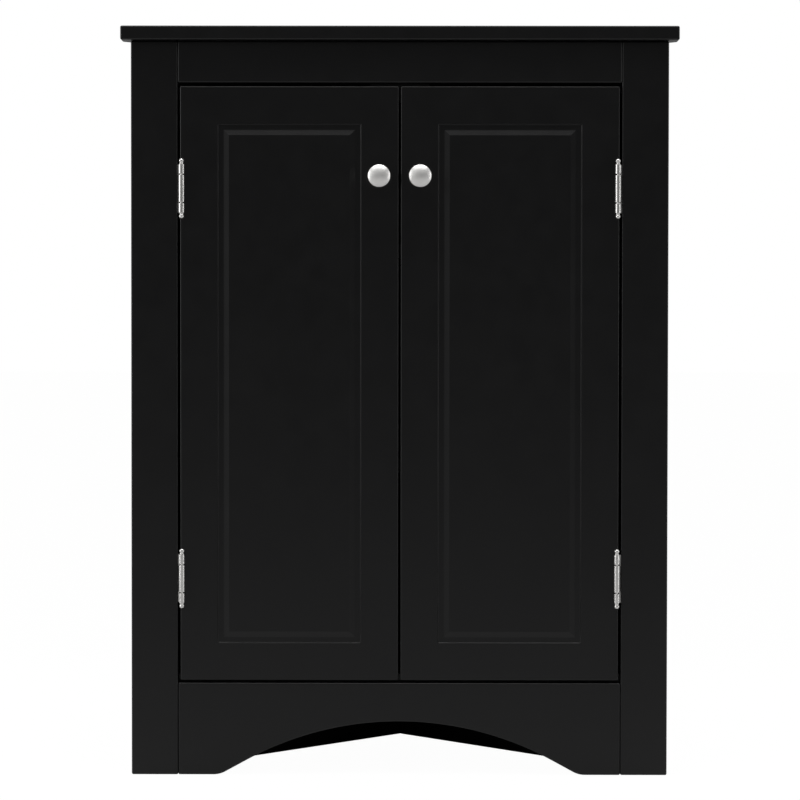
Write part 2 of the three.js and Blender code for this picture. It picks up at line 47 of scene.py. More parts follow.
# Camera
# A long lens straight in front of the doors and a little above half height, aimed slightly down.
camera_data = bpy.data.cameras.new("camera")
camera_data.lens = 116.18
camera_data.sensor_width = 36
camera = bpy.data.objects.new("camera", camera_data)
bpy.context.scene.collection.objects.link(camera)
bpy.context.scene.camera = camera
camera_place = Vector((0.0113, -2.9007, 0.4719))
camera_pan = 0.0039
camera_dip = 0.0252
camera_roll = 0.0011
camera.matrix_world = (
    Matrix.Translation(camera_place)
    @ Matrix.Rotation(camera_pan, 4, "Z")
    @ Matrix.Rotation(math.pi / 2 - camera_dip, 4, "X")
    @ Matrix.Rotation(camera_roll, 4, "Z")
)


# Back panels
# Two 15 mm fibreboards stand along the walls, sprayed satin black on both sides. They are grooved for the
# bottom board, bored for cams and shelf pins, and the left one laps the end of the right one.
patch_range = (0.3, 0.7)  # most values of a pattern lie between these


def new_finish(name):
    """A new material, its shader, and its nodes and links."""
    material = bpy.data.materials.new(name)
    material.use_nodes = True
    tree = material.node_tree
    return material, tree.nodes["Principled BSDF"], (tree.nodes, tree.links)


def patches(tree, scale, detail):
    """Random soft patches that stay on the piece, smaller as the scale grows."""
    nodes, links = tree
    noise = nodes.new("ShaderNodeTexNoise")
    noise.inputs["Scale"].default_value = scale
    noise.inputs["Detail"].default_value = detail
    links.new(nodes.new("ShaderNodeTexCoord").outputs["Object"], noise.inputs["Vector"])
    return noise.outputs["Fac"]


def vary_colour(tree, shader, pattern, dark, light):
    nodes, links = tree
    tone = nodes.new("ShaderNodeValToRGB")
    for stop, position, colour in zip(tone.color_ramp.elements, patch_range, (dark, light)):
        stop.position = position
        stop.color = (*colour, 1)
    links.new(pattern, tone.inputs["Fac"])
    links.new(tone.outputs["Color"], shader.inputs["Base Color"])


def vary_roughness(tree, shader, pattern, least, most, over=patch_range):
    nodes, links = tree
    gloss = nodes.new("ShaderNodeMapRange")
    for socket, value in zip(("From Min", "From Max", "To Min", "To Max"), (*over, least, most)):
        gloss.inputs[socket].default_value = value
    links.new(pattern, gloss.inputs["Value"])
    links.new(gloss.outputs["Result"], shader.inputs["Roughness"])


def raise_pattern(tree, shader, pattern, strength, height):
    """Lets a pattern stand up from the surface, its height in metres."""
    nodes, links = tree
    bump = nodes.new("ShaderNodeBump")
    bump.inputs["Strength"].default_value = strength
    bump.inputs["Distance"].default_value = height
    links.new(pattern, bump.inputs["Height"])
    links.new(bump.outputs["Normal"], shader.inputs["Normal"])


def satin_black(name):
    """Sprayed lacquer: near black, slightly cloudy in tone and gloss, with a fine orange peel."""
    material, shader, tree = new_finish(name)
    shader.inputs["Specular IOR Level"].default_value = 0.4
    clouds = patches(tree, scale=9, detail=4)
    vary_colour(tree, shader, clouds, dark=(0.0022, 0.0022, 0.0024), light=(0.0028, 0.0028, 0.0030))
    haze = patches(tree, scale=45, detail=5)
    vary_roughness(tree, shader, haze, least=0.30, most=0.35)
    orange_peel = patches(tree, scale=420, detail=2)
    raise_pattern(tree, shader, orange_peel, strength=0.35, height=0.00004)
    return material


def coat(piece, material):
    if not piece.material_slots:
        piece.data.materials.append(material)
    for surface in piece.material_slots:
        surface.material = material


black_paint = satin_black("black paint")
for side in ("left", "right"):
    coat(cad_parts[f"{side}_back_panel"], black_paint)


# Corner blocks
# Triangular strips that hold the front frame to the backs. One is glued into the angle between each stile
# and its back panel, and they are sprayed with the rest.
for side in ("left", "right"):
    coat(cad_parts[f"{side}_corner_block"], black_paint)


# Bottom, top and shelves
# Four 15 mm boards cut to the corner's right angle. The bottom lies in grooves in the back panels, the top
# is drawn down by cams, and the shelves lie loose on their pins. Sanding and paint round every edge.
def only(*pieces):
    """Selects these pieces and nothing else, and makes the first one active."""
    if bpy.context.mode != "OBJECT":
        bpy.ops.object.mode_set(mode="OBJECT")
    bpy.ops.object.select_all(action="DESELECT")
    for piece in pieces:
        piece.select_set(True)
    bpy.context.view_layer.objects.active = pieces[0]


def named(name):
    """Names the active object and puts its place and size into its mesh."""
    piece = bpy.context.active_object
    piece.name = piece.data.name = name
    bpy.ops.object.transform_apply(location=True, rotation=True, scale=True)
    return piece


def slab(name, low, high):
    bpy.ops.object.select_all(action="DESELECT")
    bpy.ops.mesh.primitive_cube_add(size=1, location=(low + high) / 2)
    bpy.context.active_object.scale = high - low
    return named(name)


def cut_off(piece, point, outwards):
    """Saws off all that lies beyond a plane and closes the cut."""
    only(piece)
    bpy.ops.object.mode_set(mode="EDIT")
    bpy.ops.mesh.select_all(action="SELECT")
    bpy.ops.mesh.bisect(plane_co=point, plane_no=outwards, use_fill=True, clear_outer=True)
    bpy.ops.object.mode_set(mode="OBJECT")


def polish(piece, angle=35):
    """Smooths round surfaces, and keeps the flat ones flat right up to their rounded edges."""
    only(piece)
    bpy.ops.object.shade_smooth_by_angle(angle=math.radians(angle))
    flats = piece.modifiers.new("flats", "WEIGHTED_NORMAL")
    flats.keep_sharp = True
    bpy.ops.object.modifier_apply(modifier=flats.name)


def round_edges(piece, radius, segments=4):
    only(piece)
    rounding = piece.modifiers.new("rounding", "BEVEL")
    rounding.width = radius
    rounding.segments = segments
    rounding.limit_method = "ANGLE"
    rounding.angle_limit = math.radians(40)
    bpy.ops.object.modifier_apply(modifier=rounding.name)


def carve(piece, tool, operation="DIFFERENCE"):
    change = piece.modifiers.new("carve", "BOOLEAN")
    change.operation = operation
    change.solver = "EXACT"
    change.object = tool
    only(piece)
    bpy.ops.object.modifier_apply(modifier=change.name)
    bpy.data.objects.remove(tool)


def drill(piece, holes, radius, sides=32):
    """Bores round holes, each from one point to another, and smooths the piece again."""
    bits = []
    for start, end in holes:
        bpy.ops.object.select_all(action="DESELECT")
        bpy.ops.mesh.primitive_cylinder_add(
            vertices=sides,
            radius=radius,
            depth=(end - start).length,
            location=(start + end) / 2,
            rotation=(end - start).to_track_quat("Z", "Y").to_euler(),
        )
        bits.append(bpy.context.active_object)
    only(*bits)
    if len(bits) > 1:
        bpy.ops.object.join()
    carve(piece, bits[0])
    polish(piece)


def bore(mouth, inwards, depth):
    """The ends of a hole for drill, which starts a little before the surface so that the mouth is clean."""
    return mouth - inwards * bit_start, mouth + inwards * depth


def fasten(piece, body, finish, *nodes):
    """The body that carries a piece, and the nodes that it stands for, which are hidden. The finish is not
    used.
    """
    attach(piece, body)
    if nodes:
        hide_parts(*nodes)


def middle_of(node):
    low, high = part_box(node)
    return (low + high) / 2


board_edge = 0.0018
bit_start = 0.002
bolt_hole = 0.0033
bolt_hole_depth = 0.0113
upwards = Vector((0, 0, 1))
corner_boards = {
    "top_panel": ("top_board", "carcass"),
    "bottom_panel": ("bottom_board", "carcass"),
    "lower_shelf": ("lower_shelf_board", "lower_shelf"),
    "upper_shelf": ("upper_shelf_board", "upper_shelf"),
}
for node, (name, body) in corner_boards.items():
    low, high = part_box(node)
    board = slab(name, low, high)
    for out in (-1, 1):
        cut_off(board, (0, high.y, 0), (out, 1, 0))
    round_edges(board, board_edge)
    polish(board)
    if node == "top_panel":
        bolts = [
            middle_of(f"{side}_{place}_top_cam_bolt")
            for side in ("left", "right")
            for place in ("back", "front")
        ]
        drill(board, [
            bore(Vector((bolt.x, bolt.y, low.z)), upwards, bolt_hole_depth) for bolt in bolts
        ], bolt_hole)
    coat(board, black_paint)
    fasten(board, body, "black_paint", node)


# Stiles and top rail
# Square-cut fibreboard. The stiles run from floor to top, and the rail is drawn in between them by a cam
# fitting at each end, let into its back.
cam_pocket = 0.0078
cam_pocket_depth = 0.0128
cam_bore = 0.0037
backwards = Vector((0, 1, 0))
stiles = {}
for side, out in (("left", -1), ("right", 1)):
    low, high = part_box(f"{side}_stile")
    stile = slab(f"{side}_stile_board", low, high)
    round_edges(stile, board_edge)
    inner_edge = high.x if out < 0 else low.x
    bolts = [middle_of(f"{side}_{joint}_cam_bolt") for joint in ("rail", "apron")]
    drill(stile, [
        bore(Vector((inner_edge, bolt.y, bolt.z)), Vector((out, 0, 0)), bolt_hole_depth) for bolt in bolts
    ], bolt_hole)
    coat(stile, black_paint)
    fasten(stile, "carcass", "black_paint", f"{side}_stile")
    stiles[side] = stile


def let_in_cams(board, high, joint):
    """Pockets for the two cams in the back of a rail, and the bores that their bolts come in by."""
    cams = [middle_of(f"{side}_{joint}_cam") for side in ("left", "right")]
    drill(board, [
        bore(Vector((cam.x, high.y, cam.z)), -backwards, cam_pocket_depth) for cam in cams
    ], cam_pocket)
    bolt_line = middle_of(f"left_{joint}_cam_bolt").y
    drill(board, [
        (
            Vector((cam.x, bolt_line, cam.z)),
            Vector((math.copysign(high.x + bit_start, cam.x), bolt_line, cam.z)),
        )
        for cam in cams
    ], cam_bore)


low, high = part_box("top_rail")
rail = slab("top_rail_board", low, high)
round_edges(rail, board_edge)
let_in_cams(rail, high, "rail")
coat(rail, black_paint)
fasten(rail, "carcass", "black_paint", "top_rail")


# Arched apron
# One fibreboard rail with an arch sawn out of its lower edge: a flat arc in the middle, a straight slope to
# each foot and a small rounding onto the floor. It's held like the top rail.
arch_rise = 0.0573
foot_from_stile = 0.0445
foot_slope = math.radians(28.6)
foot_rounding = 0.027
arch_steps = 36
foot_steps = 10
weld = 1e-5  # points nearer than this are made one


def start_outline(name, point):
    """One vertex in edit mode, from which an outline is drawn."""
    bpy.ops.object.select_all(action="DESELECT")
    bpy.ops.mesh.primitive_plane_add(size=weld, location=point)
    piece = named(name)
    bpy.ops.object.mode_set(mode="EDIT")
    bpy.ops.mesh.select_mode(type="VERT")
    bpy.ops.mesh.select_all(action="SELECT")
    bpy.ops.mesh.merge(type="CENTER")
    return piece


def draw_line(x, z, y=0):
    bpy.ops.mesh.extrude_vertices_move(TRANSFORM_OT_translate={"value": (x, y, z)})


def draw_arc(x, y, z, turn, steps):
    """Swings the last vertex about a centre, anticlockwise as seen from the front."""
    bpy.ops.mesh.spin(steps=steps, angle=turn, center=(x, y, z), axis=(0, 1, 0))


low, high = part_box("arched_apron")
foot = high.x - foot_from_stile
tangent = foot_rounding * math.tan(foot_slope / 2)
arch_radius = (foot - arch_rise / math.tan(foot_slope)) / math.tan(foot_slope / 2)
slope_top_x = arch_radius * math.sin(foot_slope)
slope_top_z = arch_rise - arch_radius * (1 - math.cos(foot_slope))
rounding_end_x = foot + tangent - foot_rounding * math.sin(foot_slope)
rounding_end_z = foot_rounding * (1 - math.cos(foot_slope))
apron = start_outline("arched_apron_board", low)
draw_line(high.x - foot - tangent, 0)
draw_arc(-foot - tangent, low.y, foot_rounding, foot_slope, foot_steps)
draw_line(rounding_end_x - slope_top_x, slope_top_z - rounding_end_z)
draw_arc(0, low.y, arch_rise - arch_radius, -2 * foot_slope, arch_steps)
draw_line(rounding_end_x - slope_top_x, rounding_end_z - slope_top_z)
draw_arc(foot + tangent, low.y, foot_rounding, foot_slope, foot_steps)
draw_line(high.x - foot - tangent, 0)
draw_line(0, high.z)
draw_line(low.x - high.x, 0)
draw_line(0, -high.z)
bpy.ops.mesh.select_all(action="SELECT")
bpy.ops.mesh.remove_doubles(threshold=weld)
bpy.ops.mesh.edge_face_add()
bpy.ops.mesh.extrude_region_move(TRANSFORM_OT_translate={"value": (0, high.y - low.y, 0)})
bpy.ops.mesh.select_all(action="SELECT")
bpy.ops.mesh.normals_make_consistent(inside=False)
round_edges(apron, board_edge)
let_in_cams(apron, high, "apron")
coat(apron, black_paint)
fasten(apron, "carcass", "black_paint", "arched_apron")


# Doors
# Each door is one 15 mm board. A cutter run round it leaves a groove about a raised field, with a steep
# outer flank, a flat floor and a long inner slope, and the paint softens the groove's lips.
door_edge = 0.0015
groove_margin = 0.0396
groove_width = 0.0127
groove_depth = 0.0021
outer_hollow = 0.0012
outer_slope = math.radians(75)
inner_hollow = 0.0040
inner_slope = math.radians(20)
lip_radius = 0.0004
bend_steps = 5
corner_steps = 12
mitre_slack = 1e-6
straight_ahead = 0.99  # a face with more than this of its normal along an axis faces that way
knob_hole = 0.0023


def flank(hollow, slope):
    """One side of the groove, across and then up: a hollow, a straight slope and a rounded lip."""
    rise = (hollow + lip_radius) * (1 - math.cos(slope))
    straight = (groove_depth - rise) / math.sin(slope)
    reach = (hollow + lip_radius) * math.sin(slope) + straight * math.cos(slope)
    bend = [slope * i / bend_steps for i in range(bend_steps + 1)]
    foot = [(hollow * math.sin(a), hollow * (1 - math.cos(a)) - groove_depth) for a in bend]
    lip = [(reach - lip_radius * math.sin(a), lip_radius * (math.cos(a) - 1)) for a in reversed(bend)]
    return foot + lip


outer_flank = flank(outer_hollow, outer_slope)
inner_flank = flank(inner_hollow, inner_slope)
outer_reach = outer_flank[-1][0]
flat_floor = groove_width - outer_reach - inner_flank[-1][0]
inner_half = [(0, -groove_depth)] + [(flat_floor + across, depth) for across, depth in inner_flank]


def select_edges(piece, wanted):
    bpy.ops.mesh.select_mode(type="EDGE")
    bpy.ops.mesh.select_all(action="DESELECT")
    shape = bmesh.from_edit_mesh(piece.data)
    for edge in shape.edges:
        edge.select_set(wanted(edge))
    bmesh.update_edit_mesh(piece.data)


def select_faces(piece, wanted):
    bpy.ops.mesh.select_mode(type="FACE")
    bpy.ops.mesh.select_all(action="DESELECT")
    shape = bmesh.from_edit_mesh(piece.data)
    for face in shape.faces:
        face.select_set(wanted(face))
    bmesh.update_edit_mesh(piece.data)


def another(pattern, name, place=Matrix()):
    """A copy of a pattern with a mesh of its own, put in its place."""
    only(pattern)
    bpy.ops.object.duplicate()
    bpy.context.active_object.matrix_world = place
    return named(name)


def sweep_outer_flank(name, low, high):
    """Runs the outer flank of the groove along four sides and swings it round the four corners."""
    start = Vector((low.x, low.y + groove_depth, low.z))
    ring = start_outline(name, start)
    for (across, depth), (next_across, next_depth) in zip(outer_flank, outer_flank[1:]):
        draw_line(0, across - next_across, depth - next_depth)
    bpy.ops.mesh.select_all(action="SELECT")
    wide, tall = high.x - low.x, high.z - low.z
    corners = [(high.x, low.z), (high.x, high.z), (low.x, high.z), (low.x, low.z)]
    runs = [(wide, 0), (0, tall), (-wide, 0), (0, -tall)]
    for (x, z), (run_x, run_z) in zip(corners, runs):
        bpy.ops.mesh.extrude_edges_move(TRANSFORM_OT_translate={"value": (run_x, 0, run_z)})
        bpy.ops.mesh.spin(steps=corner_steps, angle=math.pi / 2, center=(x, start.y, z), axis=(0, 1, 0))
    bpy.ops.mesh.select_all(action="SELECT")
    bpy.ops.mesh.remove_doubles(threshold=weld)
    return ring


low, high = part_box("left_door")
inset = Vector((1, 0, 1)) * (groove_margin + outer_reach)
ring = sweep_outer_flank("groove", low + inset, high - inset)
deepest = low.y + groove_depth - lip_radius / 2
select_edges(ring, lambda edge: edge.is_boundary and all(v.co.y > deepest for v in edge.verts))
bpy.ops.mesh.edge_face_add()
bpy.ops.mesh.select_mode(type="FACE")
for (across, depth), (next_across, next_depth) in zip(inner_half, inner_half[1:]):
    bpy.ops.mesh.inset(thickness=next_across - across)
    bpy.ops.transform.translate(value=(0, depth - next_depth, 0))
centre = (low + high) / 2
mitre_reach = (high - low).x / 2 - inset.x + mitre_slack


def mitred(edge):
    """Whether an edge lies in a mitre, where two sides of the groove meet inside its outer flank."""
    start, end = (vert.co - centre for vert in edge.verts)
    run = end - start
    slantwise = abs(abs(run.x) - abs(run.z)) < mitre_slack
    return slantwise and max(abs(start.x), abs(end.x)) < mitre_reach


select_edges(ring, mitred)
bpy.ops.mesh.mark_sharp()
bpy.ops.object.mode_set(mode="OBJECT")

door_pattern = slab("door_pattern", low, high)
round_edges(door_pattern, door_edge)
bpy.ops.object.mode_set(mode="EDIT")
select_faces(door_pattern, lambda face: (
    face.normal.y < -straight_ahead and face.calc_area() > groove_margin**2
))
bpy.ops.mesh.delete(type="ONLY_FACE")
only(door_pattern, ring)
bpy.ops.object.join()
bpy.ops.object.mode_set(mode="EDIT")


def select_long_sides(out):
    """The door's edge and the groove's outer lip on one side, with the flat margin between them."""
    select_edges(door_pattern, lambda edge: (
        edge.is_boundary
        and edge.calc_length() > groove_margin
        and out * ((edge.verts[0].co + edge.verts[1].co) / 2 - centre).x > groove_margin
    ))


for out in (-1, 1):
    select_long_sides(out)
    bpy.ops.mesh.edge_face_add()
bpy.ops.mesh.select_all(action="SELECT")
bpy.ops.mesh.fill_holes(sides=0)
bpy.ops.mesh.select_all(action="SELECT")
bpy.ops.mesh.normals_make_consistent(inside=False)
bpy.ops.object.mode_set(mode="OBJECT")

doors = {}
through = high.y - low.y + bit_start
for side in ("left", "right"):
    door_place = Matrix.Translation(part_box(f"{side}_door")[0] - low)
    door = another(door_pattern, f"{side}_door_board", door_place)
    knob = middle_of(f"{side}_knob")
    drill(door, [bore(Vector((knob.x, low.y, knob.z)), backwards, through)], knob_hole)
    coat(door, black_paint)
    fasten(door, f"{side}_door", "black_paint", f"{side}_door")
    doors[side] = door
bpy.data.objects.remove(door_pattern)


# Knobs
# Turned round knobs, satin nickel plated: a flat foot on the door, a narrow neck, and a gently domed face
# with a tight rim. A screw from inside the door holds each one.
def plated(name, colour, metal, roughness, wander, grain, scratch_height):
    """Metal plating with a little wander in its gloss and hair-fine polishing marks."""
    material, shader, tree = new_finish(name)
    shader.inputs["Metallic"].default_value = metal
    stains = patches(tree, scale=160, detail=4)
    stained_share = 0.94
    vary_colour(tree, shader, stains, dark=[part * stained_share for part in colour], light=colour)
    marks = patches(tree, scale=grain, detail=6)
    vary_roughness(tree, shader, marks, least=roughness - wander, most=roughness + wander)
    raise_pattern(tree, shader, marks, strength=0.3, height=scratch_height)
    return material


def turned(name, profile, sides=48):
    """A turned piece about +Z, ring by ring from its lowest, each ring a radius and a height."""
    (radius, height), *rings = profile
    bpy.ops.object.select_all(action="DESELECT")
    bpy.ops.mesh.primitive_circle_add(
        vertices=sides, radius=radius, fill_type="NGON", location=(0, 0, height)
    )
    piece = named(name)
    bpy.ops.object.mode_set(mode="EDIT")
    bpy.ops.mesh.select_all(action="SELECT")
    for next_radius, next_height in rings:
        bpy.ops.mesh.extrude_region_move(TRANSFORM_OT_translate={"value": (0, 0, next_height - height)})
        growth = next_radius / radius
        bpy.ops.transform.resize(value=(growth, growth, 1), center_override=(0, 0, next_height))
        radius, height = next_radius, next_height
    bpy.ops.mesh.select_all(action="SELECT")
    bpy.ops.mesh.normals_make_consistent(inside=False)
    bpy.ops.object.mode_set(mode="OBJECT")
    return piece


def facing(point, out):
    """The place of an upright piece whose foot is moved to a point and whose top looks along out."""
    return Matrix.Translation(point) @ out.to_track_quat("Z", "Y").to_matrix().to_4x4()


def back_of(node):
    """The middle of a node's back face."""
    low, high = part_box(node)
    return Vector(((low.x + high.x) / 2, high.y, (low.z + high.z) / 2))


satin_nickel = plated(
    "satin nickel", (0.95, 0.94, 0.92), metal=0.74, roughness=0.36, wander=0.03, grain=900,
    scratch_height=0.000008,
)
knob_radius = 0.012
face_radius = 0.0185
rim_radius = 0.0012
face_steps = 10
rim_steps = 4
knob_stem = [
    (0.0070, 0), (0.0074, 0.0003), (0.0074, 0.0010), (0.0071, 0.0014), (0.0058, 0.0024), (0.0048, 0.0040),
    (0.0044, 0.0062), (0.0047, 0.0088), (0.0060, 0.0114), (0.0086, 0.0138), (0.0107, 0.0152),
    (0.0117, 0.0163), (knob_radius, 0.0175),
]
knob_tip = 0.0001  # the last ring's radius, small but not zero so that its faces keep an area
knob_bore_depth = 0.0113
knob_low, knob_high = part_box("left_knob")
knob_length = knob_high.y - knob_low.y
face_turn = math.asin((knob_radius - rim_radius) / (face_radius - rim_radius))
face_middle = knob_length - face_radius
rim_height = face_middle + (face_radius - rim_radius) * math.cos(face_turn)
rim = [
    (knob_radius + rim_radius * (math.cos(a) - 1), rim_height + rim_radius * math.sin(a))
    for a in ((math.pi / 2 - face_turn) * i / rim_steps for i in range(rim_steps))
]
face = [
    (face_radius * math.sin(a), face_middle + face_radius * math.cos(a))
    for a in (face_turn * i / face_steps for i in range(face_steps, 0, -1))
]
knob_pattern = turned("knob_pattern", knob_stem + rim + face + [(knob_tip, knob_length)], sides=64)
drill(knob_pattern, [bore(Vector((0, 0, 0)), upwards, knob_bore_depth)], knob_hole)
polish(knob_pattern, angle=45)
coat(knob_pattern, satin_nickel)
for side in ("left", "right"):
    node = f"{side}_knob"
    knob = another(knob_pattern, f"{side}_round_knob", facing(back_of(node), -backwards))
    fasten(knob, f"{side}_door", "satin_nickel", node)
bpy.data.objects.remove(knob_pattern)


# Screws
# Zinc-plated cross-recess screws. Round-headed ones hold the knobs and the catch, and flat-headed ones are
# sunk flush into the back corner, the hinge leaves and the strike plates.
zinc = plated(
    "zinc plating", (0.58, 0.59, 0.60), metal=0.9, roughness=0.36, wander=0.06, grain=500,
    scratch_height=0.000012,
)
tip_share = 0.25
flat_rim_share = 0.1
round_rim_share = 0.3
dome_angles = [math.radians(degrees) for degrees in range(0, 90, 15)]
recess_share = Vector((1.1, 0.26, 1.1))  # the blade's length, width and height of the screw's head


def cross_slot(piece, height, blade, turn=0):
    """Cuts a cross with a blade of this length, width and height, its middle at a height."""
    for angle in (turn, turn + math.pi / 2):
        bpy.ops.object.select_all(action="DESELECT")
        bpy.ops.mesh.primitive_cube_add(size=1, location=(0, 0, height), rotation=(0, 0, angle))
        bpy.context.active_object.scale = blade
        carve(piece, named("blade"))


def screw(name, shank, length, head, head_height, sunk):
    """An upright screw whose head ends at z = 0 if it's sunk, and starts there if it's round."""
    body = [(tip_share * shank, -length), (shank, -length + 2 * shank)]
    if sunk:
        rings = body + [(shank, -head_height), (head, -flat_rim_share * head_height), (head, 0)]
    else:
        rings = body + [(shank, 0), (head, 0)] + [
            (head * math.cos(a), head_height * (round_rim_share + (1 - round_rim_share) * math.sin(a)))
            for a in dome_angles
        ]
    piece = turned(name, rings, sides=32)
    top = rings[-1][1]
    cross_slot(piece, top, recess_share * Vector((head, head, head_height)))
    polish(piece, angle=30)
    coat(piece, zinc)
    return piece


wall_out = {"left": Vector((-1, 1, 0)).normalized(), "right": Vector((1, 1, 0)).normalized()}
corner_screw_length = 0.0448
corner_screw_shank = 0.002
corner_screw_head = 0.004
corner_screw = screw(
    "corner_screw_pattern", corner_screw_shank, corner_screw_length, corner_screw_head,
    head_height=0.0026, sunk=True,
)
head_from_middle = (corner_screw_length - corner_screw_head + corner_screw_shank) / 2
for level in ("lower", "middle", "upper"):
    node = f"{level}_corner_screw"
    head_place = middle_of(node) + wall_out["left"] * head_from_middle
    piece = another(corner_screw, f"{level}_corner_flat_screw", facing(head_place, wall_out["left"]))
    fasten(piece, "carcass", "zinc_steel", node)
bpy.data.objects.remove(corner_screw)

knob_screw_rise = 0.0024
knob_screw = screw(
    "knob_screw_pattern", shank=0.002, length=0.026, head=0.0042, head_height=knob_screw_rise, sunk=False
)
for side in ("left", "right"):
    node = f"{side}_knob_screw"
    under_head = back_of(node) - backwards * knob_screw_rise
    piece = another(knob_screw, f"{side}_knob_round_screw", facing(under_head, backwards))
    fasten(piece, f"{side}_door", "zinc_steel", node)
bpy.data.objects.remove(knob_screw)


# Cam fittings
# Die-cast cams sit flush in the boards' backs, each with a deep cross slot and a raised rim, and turn on
# the heads of plain steel bolts.
cam_radius = 0.0075
cam_length = 0.0125
cam_rim = 0.0009
cam_dish_share = 1.4
cam_slot_share = Vector((1.25, 0.2, 0.7))  # the blade's length, width and height of the cam's radius
cam = turned("cam_pattern", [
    (cam_radius - cam_rim / 2, -cam_length),
    (cam_radius, -cam_length + cam_rim / 2),
    (cam_radius, -cam_rim / 2),
    (cam_radius - cam_rim / 2, 0),
    (cam_radius - cam_rim, 0),
    (cam_radius - cam_dish_share * cam_rim, -cam_rim / 2),
])
cross_slot(cam, -cam_rim, cam_slot_share * cam_radius, turn=math.pi / 4)
polish(cam, angle=30)
coat(cam, zinc)
cam_seats = {f"{side}_{joint}_cam": backwards for side in ("left", "right") for joint in ("rail", "apron")}
for side in ("left", "right"):
    cam_seats.update({f"{side}_{place}_top_cam": -wall_out[side] for place in ("back", "front")})
for node, out in cam_seats.items():
    piece = another(cam, f"{node}_fitting", facing(middle_of(node) + out * cam_length / 2, out))
    fasten(piece, "carcass", "zinc_steel", node)
    coat(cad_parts[f"{node}_bolt"], zinc)
bpy.data.objects.remove(cam)


# Shelf pins
# Stamped nickel-plated brackets: a peg in the panel's hole, a plate against the wall and a ledge for the
# shelf, with rounded corners.
peg_radius = 0.0025
peg_length = 0.009
plate_half = 0.005
plate_height = 0.012
plate_wall = 0.0015
ledge_reach = 0.010
pin_rounding = 0.0028
pin_edge = 0.0003
seat_gap = 0.0001  # the play of a piece that lies on another or runs through it


def rounded_slab(name, low, high, rounding, corners):
    """A slab of which some corners, edges picked by their two ends, are rounded first."""
    piece = slab(name, low, high)
    bpy.ops.object.mode_set(mode="EDIT")
    select_edges(piece, lambda edge: corners(edge.verts[0].co, edge.verts[1].co))
    bpy.ops.mesh.bevel(offset=rounding, segments=6, affect="EDGES")
    bpy.ops.object.mode_set(mode="OBJECT")
    return piece


plate_back = -seat_gap
pin_low = Vector((-plate_half, plate_back - ledge_reach, -plate_height / 2))
pin_high = Vector((plate_half, plate_back, plate_height / 2))
pin = rounded_slab("shelf_pin_pattern", pin_low, pin_high, pin_rounding, lambda start, end: (
    start.x == end.x and (start.y == end.y < -ledge_reach / 2 or start.z == end.z < 0)
))
waste_high = Vector((2 * pin_high.x, plate_back - plate_wall, pin_high.z - plate_wall))
carve(pin, slab("waste", 2 * pin_low, waste_high))
round_edges(pin, pin_edge, segments=2)
peg = turned("peg", [
    (peg_radius, -plate_wall / 2),
    (peg_radius, peg_length - pin_edge),
    (peg_radius - pin_edge, peg_length),
], sides=32)
peg.matrix_world = facing(Vector((0, 0, 0)), backwards)
carve(pin, peg, "UNION")
polish(pin, angle=30)
coat(pin, satin_nickel)
wall_from_middle = (ledge_reach + seat_gap - peg_length + plate_half - peg_radius) / 2
for shelf in ("lower", "upper"):
    for side, out in wall_out.items():
        for place in ("back", "front"):
            node = f"{shelf}_shelf_pin_{side}_{place}"
            wall_face = middle_of(node) + out * wall_from_middle
            turn = Matrix.Rotation(math.atan2(out.y, out.x) - math.pi / 2, 4, "Z")
            piece = another(pin, f"{node}_bracket", Matrix.Translation(wall_face) @ turn)
            fasten(piece, "carcass", "satin_nickel", node)
bpy.data.objects.remove(pin)


# Hinges
# Butt hinges of 1 mm steel, bright nickel plated, screwed to the edges of stile and door. The stile's leaf
# is cranked in and rolled round the pin as the long middle knuckle, the door's as the two short end ones.
bright_nickel = plated(
    "bright nickel", (0.88, 0.87, 0.85), metal=0.88, roughness=0.20, wander=0.03, grain=700,
    scratch_height=0.000006,
)
sheet = 0.001
barrel_radius = 0.00305
tongue = 0.0022
leaf_width = 0.0114
leaf_half = 0.02575
end_knuckle = 0.010
knuckle_joint = leaf_half - end_knuckle
knuckle_gap = 0.0014
leaf_corner = 0.0015
leaf_edge = 0.0004
roll = math.radians(312)
roll_steps = 40
crank_steps = 5
screw_spacing = 0.033
leaf_hole = 0.0021
leaf_screw_head = 0.0020
leaf_screw_shank = 0.0012
leaf_screw_length = 0.010
frame_leaf_inner = 0.0033  # from the pin's line to each leaf's near face
door_leaf_inner = 0.0020
flat_start = barrel_radius + tongue
flat_middle = flat_start + leaf_width / 2
leaf_screw_heights = (-screw_spacing / 2, screw_spacing / 2)
pilot_depth = leaf_screw_length + leaf_screw_shank


